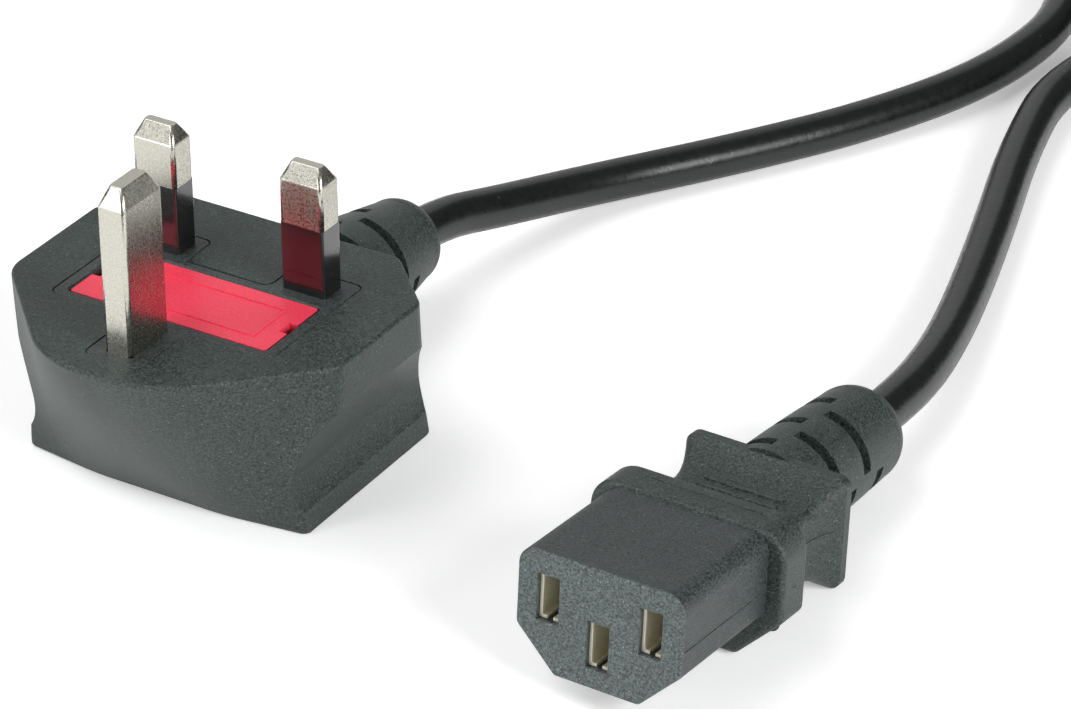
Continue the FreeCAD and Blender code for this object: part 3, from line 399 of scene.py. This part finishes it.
def moulded_grain():
    """Fine pitted grain with soft clouding and small pale specks, as on moulded PVC."""
    name = "Moulded grain"
    if name in bpy.data.node_groups:
        return bpy.data.node_groups[name]
    group, start, end = new_group(
        name,
        (
            ("Colour", "NodeSocketColor", (0.05, 0.06, 0.05, 1)),
            ("Speck", "NodeSocketColor", (0.2, 0.2, 0.2, 1)),
            ("Grain", "NodeSocketFloat", 2600.0),
            ("Specks", "NodeSocketFloat", 0.1),
            ("Dark", "NodeSocketFloat", 0.9),
            ("Light", "NodeSocketFloat", 1.1),
            ("Low roughness", "NodeSocketFloat", 0.5),
            ("High roughness", "NodeSocketFloat", 0.65),
        ),
        (
            ("Colour", "NodeSocketColor"),
            ("Roughness", "NodeSocketFloat"),
            ("Height", "NodeSocketFloat"),
        ),
    )
    link = group.links.new
    place = add_node(group, "ShaderNodeTexCoord").outputs["Object"]
    grain = add_node(group, "ShaderNodeTexNoise", Detail=4.0, Roughness=0.62)
    link(place, grain.inputs["Vector"])
    link(start.outputs["Grain"], grain.inputs["Scale"])
    cloud = add_node(group, "ShaderNodeTexNoise", Detail=3.0)
    link(place, cloud.inputs["Vector"])
    link(add_math(group, "MULTIPLY", start.outputs["Grain"], CLOUD_SCALE), cloud.inputs["Scale"])
    specks = add_node(group, "ShaderNodeTexVoronoi", Randomness=1.0)
    link(place, specks.inputs["Vector"])
    link(add_math(group, "MULTIPLY", start.outputs["Grain"], SPECK_SCALE), specks.inputs["Scale"])
    tints = (start.outputs["Dark"], start.outputs["Light"])
    fine = add_range(group, grain.outputs["Fac"], GRAIN_BAND, tints)
    soft = add_range(group, cloud.outputs["Fac"], CLOUD_BAND, CLOUD_TINT)
    tint = add_math(group, "MULTIPLY", fine, soft)
    grey = add_node(group, "ShaderNodeCombineColor")
    for index in range(3):
        link(tint, grey.inputs[index])
    clouded = add_mix(group, 1.0, start.outputs["Colour"], grey.outputs[0], "MULTIPLY")
    speck = add_math(group, "LESS_THAN", specks.outputs["Distance"], start.outputs["Specks"])
    link(add_mix(group, speck, clouded, start.outputs["Speck"]), end.inputs["Colour"])
    limits = (start.outputs["Low roughness"], start.outputs["High roughness"])
    link(add_range(group, grain.outputs["Fac"], ROUGH_BAND, limits), end.inputs["Roughness"])
    link(grain.outputs["Fac"], end.inputs["Height"])
    return group


def rubbed_metal():
    """Fine scuffs along the pins with soft stains, for plated and stamped metal."""
    name = "Rubbed metal"
    if name in bpy.data.node_groups:
        return bpy.data.node_groups[name]
    group, start, end = new_group(
        name,
        (
            ("Colour", "NodeSocketColor", (0.7, 0.7, 0.7, 1)),
            ("Scuffs", "NodeSocketFloat", 0.5),
            ("Low roughness", "NodeSocketFloat", 0.20),
            ("High roughness", "NodeSocketFloat", 0.38),
        ),
        (
            ("Colour", "NodeSocketColor"),
            ("Roughness", "NodeSocketFloat"),
            ("Height", "NodeSocketFloat"),
        ),
    )
    link = group.links.new
    place = add_node(group, "ShaderNodeTexCoord").outputs["Object"]
    stretch = add_node(group, "ShaderNodeMapping")
    stretch.inputs["Scale"].default_value = SCUFF_SCALE
    link(place, stretch.inputs["Vector"])
    scuffs = add_node(group, "ShaderNodeTexNoise", Scale=1.0, Detail=5.0, Roughness=0.7)
    link(stretch.outputs[0], scuffs.inputs["Vector"])
    stains = add_node(group, "ShaderNodeTexNoise", Scale=STAIN_SCALE, Detail=5.0)
    link(place, stains.inputs["Vector"])
    worn = add_range(group, stains.outputs["Fac"], STAIN_BAND, (0.0, 1.0))
    dull = add_mix(group, 1.0, start.outputs["Colour"], STAIN_TINT, "MULTIPLY")
    link(add_mix(group, worn, start.outputs["Colour"], dull), end.inputs["Colour"])
    rubbed = add_math(group, "MULTIPLY", scuffs.outputs["Fac"], worn)
    limits = (start.outputs["Low roughness"], start.outputs["High roughness"])
    link(add_range(group, rubbed, SCUFF_BAND, limits), end.inputs["Roughness"])
    height = add_math(group, "MULTIPLY", scuffs.outputs["Fac"], start.outputs["Scuffs"])
    link(height, end.inputs["Height"])
    return group


def finish(name, group, values, depth, **shader):
    """Material that feeds one effect group to a Principled shader, with a bump of a given depth."""
    if name in bpy.data.materials:
        return bpy.data.materials[name]
    material = bpy.data.materials.new(name)
    material.use_nodes = True
    tree = material.node_tree
    surface = tree.nodes["Principled BSDF"]
    effect = tree.nodes.new("ShaderNodeGroup")
    effect.node_tree = group
    for key, value in values.items():
        effect.inputs[key].default_value = (*value, 1) if hasattr(value, "__len__") else value
    for key, value in shader.items():
        surface.inputs[key.replace("_", " ")].default_value = value
    bump = add_node(tree, "ShaderNodeBump", Distance=depth)
    tree.links.new(effect.outputs["Height"], bump.inputs["Height"])
    tree.links.new(bump.outputs[0], surface.inputs["Normal"])
    tree.links.new(effect.outputs["Colour"], surface.inputs["Base Color"])
    tree.links.new(effect.outputs["Roughness"], surface.inputs["Roughness"])
    return material


def dress(node_name, material):
    """Gives a CAD node its finish."""
    for slot in NODES[node_name].material_slots:
        slot.material = material


def soft_moulding():
    """Grained PVC of both outer mouldings."""
    mould = bpy.context.scene.plug_mouldings
    values = {
        "Colour": tuple(mould.soft),
        "Speck": tuple(mould.speck),
        "Grain": mould.grain,
        "Specks": 0.11,
        "Dark": 0.15,
        "Light": 2.15,
        "Low roughness": 0.36,
        "High roughness": 0.56,
    }
    return finish("Soft moulding", moulded_grain(), values, depth=0.00013)


def hard_insert():
    """Harder, a little smoother plastic of the bridge round the pins."""
    mould = bpy.context.scene.plug_mouldings
    values = {
        "Colour": tuple(mould.hard),
        "Speck": tuple(mould.speck),
        "Grain": mould.grain,
        "Specks": 0.09,
        "Dark": 0.3,
        "Light": 1.9,
        "Low roughness": 0.38,
        "High roughness": 0.56,
    }
    return finish("Hard insert", moulded_grain(), values, depth=0.00010)


def contact_block_plastic():
    """The hard insert, with a highlight painted on the contact block's face as a paler tint."""
    material = hard_insert().copy()
    material.name = "Contact block plastic"
    tree = material.node_tree
    surface = tree.nodes["Principled BSDF"]
    place = add_node(tree, "ShaderNodeTexCoord").outputs["Object"]
    depth = add_node(tree, "ShaderNodeVectorMath", operation="DOT_PRODUCT")
    depth.inputs[1].default_value = FRONT_AXIS
    tree.links.new(place, depth.inputs[0])
    band = [FRONT_REACH - inset for inset in FRONT_BLEND]
    front = add_range(tree, depth.outputs["Value"], band, (0.0, 1.0))
    plain = surface.inputs["Base Color"].links[0].from_socket
    # Painted highlight: the block's face is tinted paler where it catches the light from the floor
    pale = add_mix(tree, 1.0, plain, (*FRONT_PAINTED_HIGHLIGHT, 1), "MULTIPLY")
    tree.links.new(add_mix(tree, front, plain, pale), surface.inputs["Base Color"])
    return material


def sleeve_plastic():
    """Glossy sleeves on the line and neutral pins."""
    values = {
        "Colour": (0.010, 0.010, 0.010),
        "Speck": (0.05, 0.05, 0.05),
        "Grain": 1500.0,
        "Specks": 0.03,
        "Low roughness": 0.16,
        "High roughness": 0.24,
    }
    gloss = {"Specular_IOR_Level": 0.7, "Coat_Weight": 0.8, "Coat_Roughness": 0.1}
    return finish("Pin sleeve", moulded_grain(), values, depth=0.00001, **gloss)


def flex_sheath():
    """Smooth black sheath of the flex."""
    values = {
        "Colour": tuple(bpy.context.scene.plug_flex.sheath),
        "Speck": (0.06, 0.06, 0.06),
        "Grain": 900.0,
        "Specks": 0.04,
        "Low roughness": 0.26,
        "High roughness": 0.34,
    }
    return finish("Flex sheath", moulded_grain(), values, depth=0.00003)


def carrier_plastic():
    """Red plastic of the fuse carrier."""
    values = {
        "Colour": tuple(bpy.context.scene.plug_fuse.red),
        "Speck": (0.9, 0.2, 0.24),
        "Grain": 2600.0,
        "Specks": 0.05,
        "Low roughness": 0.34,
        "High roughness": 0.42,
    }
    return finish("Red plastic", moulded_grain(), values, depth=0.00001, Specular_IOR_Level=0.35)


def core_plastic(name, colour):
    """Plain insulation of one core."""
    values = {
        "Colour": colour,
        "Speck": colour,
        "Grain": 1500.0,
        "Specks": 0.0,
        "Low roughness": 0.45,
        "High roughness": 0.55,
    }
    return finish(name, moulded_grain(), values, depth=0.00002)


def ceramic():
    """Glazed tube of the fuse."""
    values = {
        "Colour": tuple(bpy.context.scene.plug_fuse.ceramic),
        "Speck": (0.6, 0.58, 0.52),
        "Grain": 1500.0,
        "Specks": 0.06,
        "Low roughness": 0.2,
        "High roughness": 0.3,
    }
    return finish("Ceramic", moulded_grain(), values, depth=0.00002)


def pin_nickel():
    """Plating of the pins and of the fuse's caps."""
    values = {"Colour": tuple(bpy.context.scene.plug_metals.nickel), "Scuffs": 0.6}
    return finish("Pin nickel", rubbed_metal(), values, depth=0.000008, Metallic=1.0)


def contact_tin():
    """Dull tinned metal of the connector's contacts."""
    values = {
        "Colour": tuple(bpy.context.scene.plug_metals.tin),
        "Scuffs": 0.6,
        "Low roughness": 0.38,
        "High roughness": 0.55,
    }
    return finish("Contact tin", rubbed_metal(), values, depth=0.00001, Metallic=0.7)


def contact_brass():
    """Stamped brass of clips and terminals."""
    values = {
        "Colour": tuple(bpy.context.scene.plug_metals.brass),
        "Scuffs": 0.8,
        "Low roughness": 0.24,
        "High roughness": 0.45,
    }
    return finish("Contact brass", rubbed_metal(), values, depth=0.00001, Metallic=1.0)


def link_piece(name, data):
    """New piece that rides on the plug."""
    piece = bpy.data.objects.new(name, data)
    bpy.context.scene.collection.objects.link(piece)
    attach(piece, BODY)
    return piece


def link_mesh(name, sheet, material):
    """New piece from a finished sheet, which is freed."""
    mesh = bpy.data.meshes.new(name)
    sheet.to_mesh(mesh)
    sheet.free()
    mesh.materials.append(material)
    return link_piece(name, mesh)


def coil_point(turn):
    """Point of the coil after so many turns: in along the lower layer, out along the upper one."""
    pitch = bpy.context.scene.plug_flex.diameter
    laps_in = (COIL_OUTER - COIL_INNER) / pitch
    climb_start = COIL_OUTER_LAP + laps_in - COIL_CLIMB / 3
    climbed = min(max((turn - climb_start) / COIL_CLIMB, 0.0), 1.0)
    inward = min(max(turn - COIL_OUTER_LAP, 0.0), laps_in)
    outward = max(turn - COIL_OUTER_LAP - laps_in - COIL_CLIMB * 2 / 3, 0.0)
    radius = COIL_OUTER - pitch * inward + pitch * outward
    angle = math.radians(COIL_ENTRY - 360.0 * turn)
    reach = radius / math.cos(math.pi / COIL_STEPS)
    return (
        COIL_CENTRE[0] + reach * math.cos(angle),
        COIL_CENTRE[1] + reach * math.sin(angle),
        pitch / 2 + pitch * climbed,
    )


def flex_points():
    """Points of the whole flex, from inside the plug to inside the connector."""
    steps = round(COIL_TURNS * COIL_STEPS)
    coil = [coil_point(step / COIL_STEPS) for step in range(steps + 1)]
    return list(PLUG_ROUTE) + coil + list(reversed(CONNECTOR_ROUTE))


class PLUGLEAD_OT_camera(bpy.types.Operator):
    """Places the camera where the photograph was taken from"""

    bl_idname = "pluglead.camera"
    bl_label = "Camera"

    def execute(self, context):
        data = bpy.data.cameras.new("Camera")
        data.lens = VIEW_LENS
        data.sensor_width = VIEW_SENSOR
        data.shift_x = VIEW_SHIFT
        data.clip_start = VIEW_NEAR
        camera = bpy.data.objects.new("Camera", data)
        context.scene.collection.objects.link(camera)
        camera.location = VIEW_FROM
        look = (Vector(VIEW_AT) - Vector(VIEW_FROM)).to_track_quat("-Z", "Y")
        turn = look @ Quaternion((0, 0, 1), math.radians(VIEW_ROLL))
        camera.rotation_euler = turn.to_euler()
        context.scene.camera = camera
        return {"FINISHED"}


class PLUGLEAD_OT_flex(bpy.types.Operator):
    """Lays the flex from the plug, round its coil and back to the connector"""

    bl_idname = "pluglead.flex"
    bl_label = "Flex"

    def execute(self, context):
        settings = context.scene.plug_flex
        curve = bpy.data.curves.new("flex", "CURVE")
        curve.dimensions = "3D"
        curve.bevel_depth = settings.diameter / 2
        curve.bevel_resolution = settings.sides
        curve.resolution_u = FLEX_STEPS
        curve.use_fill_caps = True
        curve.materials.append(flex_sheath())
        spline = curve.splines.new("NURBS")
        points = flex_points()
        spline.points.add(len(points) - 1)
        for point, place in zip(spline.points, points):
            point.co = (*place, 1.0)
        spline.order_u = 3
        spline.use_endpoint_u = True
        flex = link_piece("flex", curve)
        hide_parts("cord_plug_side", "cord_coil", "cord_connector_side")
        for name in ("plug_sheath_end", "connector_sheath_end"):
            dress(name, flex_sheath())
        return {"FINISHED"}


class PLUGLEAD_OT_housing(bpy.types.Operator):
    """Finishes the plug's soft moulding and its hard bridge"""

    bl_idname = "pluglead.housing"
    bl_label = "Plug housing"

    def execute(self, context):
        dress("plug_body", soft_moulding())
        dress("inner_bridge", hard_insert())
        return {"FINISHED"}


def add_bar(sheet, centre, size, low, high):
    """Upright square bar between two heights."""
    verts = bmesh.ops.create_cube(sheet, size=1.0)["verts"]
    bmesh.ops.scale(sheet, vec=(*size, high - low), verts=verts)
    bmesh.ops.translate(sheet, vec=(*centre, (low + high) / 2), verts=verts)


def round_edges(sheet, edges, radius, segments):
    """Rounds some edges of a sheet."""
    bmesh.ops.bevel(
        sheet,
        geom=edges,
        offset=radius,
        segments=segments,
        profile=0.5,
        affect="EDGES",
        material=-1,
    )


def nosed_pin(centre, size, span, flat, nose, foot, foot_low, rounding):
    """Bar with rounded edges on a narrow foot, with a nose that narrows to a small flat."""
    sheet = bmesh.new()
    low, top = span
    shoulder = top - nose
    add_bar(sheet, centre, size, low, shoulder)
    upright = [edge for edge in sheet.edges if abs(edge.verts[0].co.z - edge.verts[1].co.z) > nose]
    round_edges(sheet, upright, rounding, PIN_SEGMENTS)
    crown = [face for face in sheet.faces if face.normal.z > FACING_UP]
    grown = bmesh.ops.extrude_face_region(sheet, geom=crown)["geom"]
    bmesh.ops.delete(sheet, geom=crown, context="FACES_ONLY")
    inset = [(full - small) / 2 for full, small in zip(size, flat)]
    for vert in (item for item in grown if isinstance(item, bmesh.types.BMVert)):
        vert.co.x -= math.copysign(inset[0], vert.co.x - centre[0])
        vert.co.y -= math.copysign(inset[1], vert.co.y - centre[1])
        vert.co.z = top
    sheet.normal_update()
    rims = [
        edge
        for edge in sheet.edges
        if min(vert.co.z for vert in edge.verts) > shoulder - SAME_HEIGHT
        and edge.calc_length() > SHORTEST_RIM
        and edge.calc_face_angle(0.0) > LEAST_TURN
    ]
    round_edges(sheet, rims, NOSE_ROUNDING, NOSE_SEGMENTS)
    add_bar(sheet, centre, foot, foot_low, low)
    bmesh.ops.recalc_face_normals(sheet, faces=sheet.faces)
    for face in sheet.faces:
        face.smooth = face.calc_area() < WIDEST_ROUNDING
    return sheet


class PLUGLEAD_OT_relief_root(bpy.types.Operator):
    """Makes the moulded fillet where the strain relief leaves the plug"""

    bl_idname = "pluglead.relief_root"
    bl_label = "Relief root"

    def execute(self, context):
        sheet = bmesh.new()
        ring = [sheet.verts.new((radius, reach, 0.0)) for radius, reach in ROOT_PROFILE]
        edges = [sheet.edges.new(pair) for pair in zip(ring, ring[1:] + ring[:1])]
        bmesh.ops.spin(
            sheet,
            geom=ring + edges,
            cent=(0, 0, 0),
            axis=(0, 1, 0),
            angle=math.tau,
            steps=ROOT_STEPS,
            use_merge=True,
        )
        bmesh.ops.remove_doubles(sheet, verts=sheet.verts, dist=SAME_PLACE)
        bmesh.ops.recalc_face_normals(sheet, faces=sheet.faces)
        bmesh.ops.translate(sheet, vec=ROOT_CENTRE, verts=sheet.verts)
        for face in sheet.faces:
            face.smooth = True
        link_mesh("relief_root", sheet, soft_moulding())
        return {"FINISHED"}


class PLUGLEAD_OT_pins(bpy.types.Operator):
    """Makes the three pins with rounded noses and finishes the sleeves on two of them"""

    bl_idname = "pluglead.pins"
    bl_label = "Pins"

    def execute(self, context):
        for name, shape in PIN_SHAPES.items():
            sheet = nosed_pin(**shape, rounding=context.scene.plug_metals.rounding)
            pin = link_mesh(name + "_nose", sheet, pin_nickel())
            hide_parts(name)
        for name in ("line_pin_sleeve", "neutral_pin_sleeve"):
            dress(name, sleeve_plastic())
        return {"FINISHED"}


class PLUGLEAD_OT_fuse(bpy.types.Operator):
    """Finishes the fuse, its carrier and its clips"""

    bl_idname = "pluglead.fuse"
    bl_label = "Fuse and carrier"

    def execute(self, context):
        dress("fuse_carrier", carrier_plastic())
        dress("fuse_tube", ceramic())
        for name in ("fuse_cap_right", "fuse_cap_left"):
            dress(name, pin_nickel())
        for name in ("pin_fuse_clip", "lead_fuse_clip"):
            dress(name, contact_brass())
        return {"FINISHED"}


class PLUGLEAD_OT_wiring(bpy.types.Operator):
    """Finishes the cores and terminals inside both mouldings"""

    bl_idname = "pluglead.wiring"
    bl_label = "Cores and terminals"

    def execute(self, context):
        for finish_name, colour, names in CORES:
            for name in names:
                dress(name, core_plastic(finish_name, colour))
        for name in ("neutral_terminal", "earth_terminal"):
            dress(name, contact_brass())
        return {"FINISHED"}


class PLUGLEAD_OT_connector(bpy.types.Operator):
    """Finishes the appliance connector and its contacts"""

    bl_idname = "pluglead.connector"
    bl_label = "Connector"

    def execute(self, context):
        dress("connector_body", soft_moulding())
        dress("contact_block", contact_block_plastic())
        for name in ("line_contact", "neutral_contact", "earth_contact"):
            dress(name, contact_tin())
        return {"FINISHED"}


def connector_skin():
    """The connector's mouldings as one surface to measure on."""
    sheet = bmesh.new()
    for name in ("connector_body", "contact_block"):
        sheet.from_mesh(NODES[name].data)
    skin = BVHTree.FromBMesh(sheet)
    sheet.free()
    return skin


def on_skin(skin, outside, inside):
    """Where a line between two points of the connector's own millimetres meets its surface."""
    start = CONNECTOR_PLACE @ Vector(outside)
    end = CONNECTOR_PLACE @ Vector(inside)
    place = skin.ray_cast(start, (end - start).normalized())[0]
    if place is None:
        raise RuntimeError("a mould line misses the connector")
    return place


def mould_lines():
    """Both seams along the sides, the joint round the contact block and the bare panel's outline."""
    skin = connector_skin()
    lines = []
    for side in (-WELL_ASIDE, WELL_ASIDE):
        seam = [on_skin(skin, (side, y, SEAM_HEIGHT), (0, y, SEAM_HEIGHT)) for y in SEAM_STEPS]
        lines.append(seam)
    joint = []
    for step in range(JOINT_STEPS + 1):
        angle = math.radians(JOINT_FROM + JOINT_TURN * step / JOINT_STEPS)
        across = WELL_ASIDE * math.cos(angle)
        height = JOINT_HEIGHT + WELL_ASIDE * math.sin(angle)
        outside = (across, JOINT_DEPTH, height)
        joint.append(on_skin(skin, outside, (0, JOINT_DEPTH, JOINT_HEIGHT)))
    lines.append(joint)
    lines.append([on_skin(skin, (x, y, WELL_ABOVE), (x, y, 0)) for x, y in PANEL_OUTLINE])
    return lines


class PLUGLEAD_OT_mould_lines(bpy.types.Operator):
    """Lays the thin raised lines that the mould leaves on the connector"""

    bl_idname = "pluglead.mould_lines"
    bl_label = "Mould lines"

    def execute(self, context):
        curve = bpy.data.curves.new("mould_lines", "CURVE")
        curve.dimensions = "3D"
        curve.bevel_depth = LINE_RADIUS
        curve.bevel_resolution = 1
        curve.use_fill_caps = True
        curve.materials.append(soft_moulding())
        for line in mould_lines():
            spline = curve.splines.new("POLY")
            spline.points.add(len(line) - 1)
            for point, place in zip(spline.points, line):
                point.co = (*place, 1.0)
        link_piece("mould_lines", curve)
        return {"FINISHED"}


def floor_material(colour):
    """Plain pale floor that glows a little where it is seen or mirrored."""
    material = bpy.data.materials.new("Floor")
    material.use_nodes = True
    tree = material.node_tree
    surface = tree.nodes["Principled BSDF"]
    surface.inputs["Base Color"].default_value = (*colour, 1)
    surface.inputs["Roughness"].default_value = 0.9
    surface.inputs["Specular IOR Level"].default_value = 0.1
    surface.inputs["Emission Color"].default_value = (1, 1, 1, 1)
    path = add_node(tree, "ShaderNodeLightPath")
    seen = add_math(tree, "MULTIPLY", path.outputs["Is Camera Ray"], FLOOR_GLOW)
    mirrored = add_math(tree, "MULTIPLY", path.outputs["Is Glossy Ray"], FLOOR_GLOW)
    tree.links.new(add_math(tree, "ADD", seen, mirrored), surface.inputs["Emission Strength"])
    return material


def add_floor(colour):
    """Floor just under the part."""
    sheet = bmesh.new()
    bmesh.ops.create_grid(sheet, x_segments=1, y_segments=1, size=FLOOR_REACH)
    bmesh.ops.translate(sheet, vec=(0, 0, -FLOOR_DROP), verts=sheet.verts)
    mesh = bpy.data.meshes.new("floor")
    sheet.to_mesh(mesh)
    sheet.free()
    mesh.materials.append(floor_material(colour))
    floor = bpy.data.objects.new("floor", mesh)
    bpy.context.scene.collection.objects.link(floor)


def add_lamp(name, place, size, power):
    """Soft square lamp that shines on the part."""
    data = bpy.data.lights.new(name, "AREA")
    data.size = size
    data.energy = power
    lamp = bpy.data.objects.new(name, data)
    bpy.context.scene.collection.objects.link(lamp)
    lamp.location = place
    aim = Vector(LAMPS_AIM) - Vector(place)
    lamp.rotation_euler = aim.to_track_quat("-Z", "Y").to_euler()


def add_world(ambient, zenith):
    """Light from all round that grows with height, behind a white backdrop."""
    world = bpy.data.worlds.new("World")
    world.use_nodes = True
    bpy.context.scene.world = world
    tree = world.node_tree
    background = tree.nodes["Background"]
    background.inputs["Color"].default_value = (1, 1, 1, 1)
    direction = add_node(tree, "ShaderNodeTexCoord").outputs["Generated"]
    split = add_node(tree, "ShaderNodeSeparateXYZ")
    tree.links.new(direction, split.inputs[0])
    sky = add_range(tree, split.outputs["Z"], SKY_BAND, (ambient, zenith))
    seen = add_node(tree, "ShaderNodeLightPath").outputs["Is Camera Ray"]
    strength = add_range(tree, seen, (0.0, 1.0), (sky, BACKDROP))
    tree.links.new(strength, background.inputs["Strength"])


class PLUGLEAD_OT_stage(bpy.types.Operator):
    """Makes the pale floor, the lamps and the world"""

    bl_idname = "pluglead.stage"
    bl_label = "Stage"

    def execute(self, context):
        settings = context.scene.plug_stage
        add_floor(settings.floor)
        for lamp in LAMPS:
            add_lamp(*lamp)
        add_world(settings.ambient, settings.zenith)
        context.scene.view_settings.view_transform = "Standard"
        return {"FINISHED"}


OPERATORS = (
    PLUGLEAD_OT_camera,
    PLUGLEAD_OT_flex,
    PLUGLEAD_OT_housing,
    PLUGLEAD_OT_relief_root,
    PLUGLEAD_OT_pins,
    PLUGLEAD_OT_fuse,
    PLUGLEAD_OT_wiring,
    PLUGLEAD_OT_connector,
    PLUGLEAD_OT_mould_lines,
    PLUGLEAD_OT_stage,
)

SETTINGS = (
    ("plug_flex", FlexSettings),
    ("plug_mouldings", MouldingSettings),
    ("plug_metals", MetalSettings),
    ("plug_fuse", FuseSettings),
    ("plug_stage", StageSettings),
)


class PLUGLEAD_PT_pieces(bpy.types.Panel):
    """Lists the settings and the operators that make the pieces"""

    bl_label = "Plug lead"
    bl_idname = "PLUGLEAD_PT_pieces"
    bl_space_type = "VIEW_3D"
    bl_region_type = "UI"
    bl_category = "Plug lead"

    def draw(self, context):
        for name, group in SETTINGS:
            box = self.layout.box()
            settings = getattr(context.scene, name)
            for key in group.__annotations__:
                box.prop(settings, key)
        for operator in OPERATORS:
            self.layout.operator(operator.bl_idname)


def register():
    for name, group in SETTINGS:
        bpy.utils.register_class(group)
        setattr(bpy.types.Scene, name, PointerProperty(type=group))
    for operator in OPERATORS:
        bpy.utils.register_class(operator)
    bpy.utils.register_class(PLUGLEAD_PT_pieces)


def unregister():
    bpy.utils.unregister_class(PLUGLEAD_PT_pieces)
    for operator in reversed(OPERATORS):
        bpy.utils.unregister_class(operator)
    for name, group in reversed(SETTINGS):
        delattr(bpy.types.Scene, name)
        bpy.utils.unregister_class(group)


def main():
    register()
    for operator in OPERATORS:
        family, name = operator.bl_idname.split(".")
        getattr(getattr(bpy.ops, family), name)()


if __name__ == "__main__":
    main()
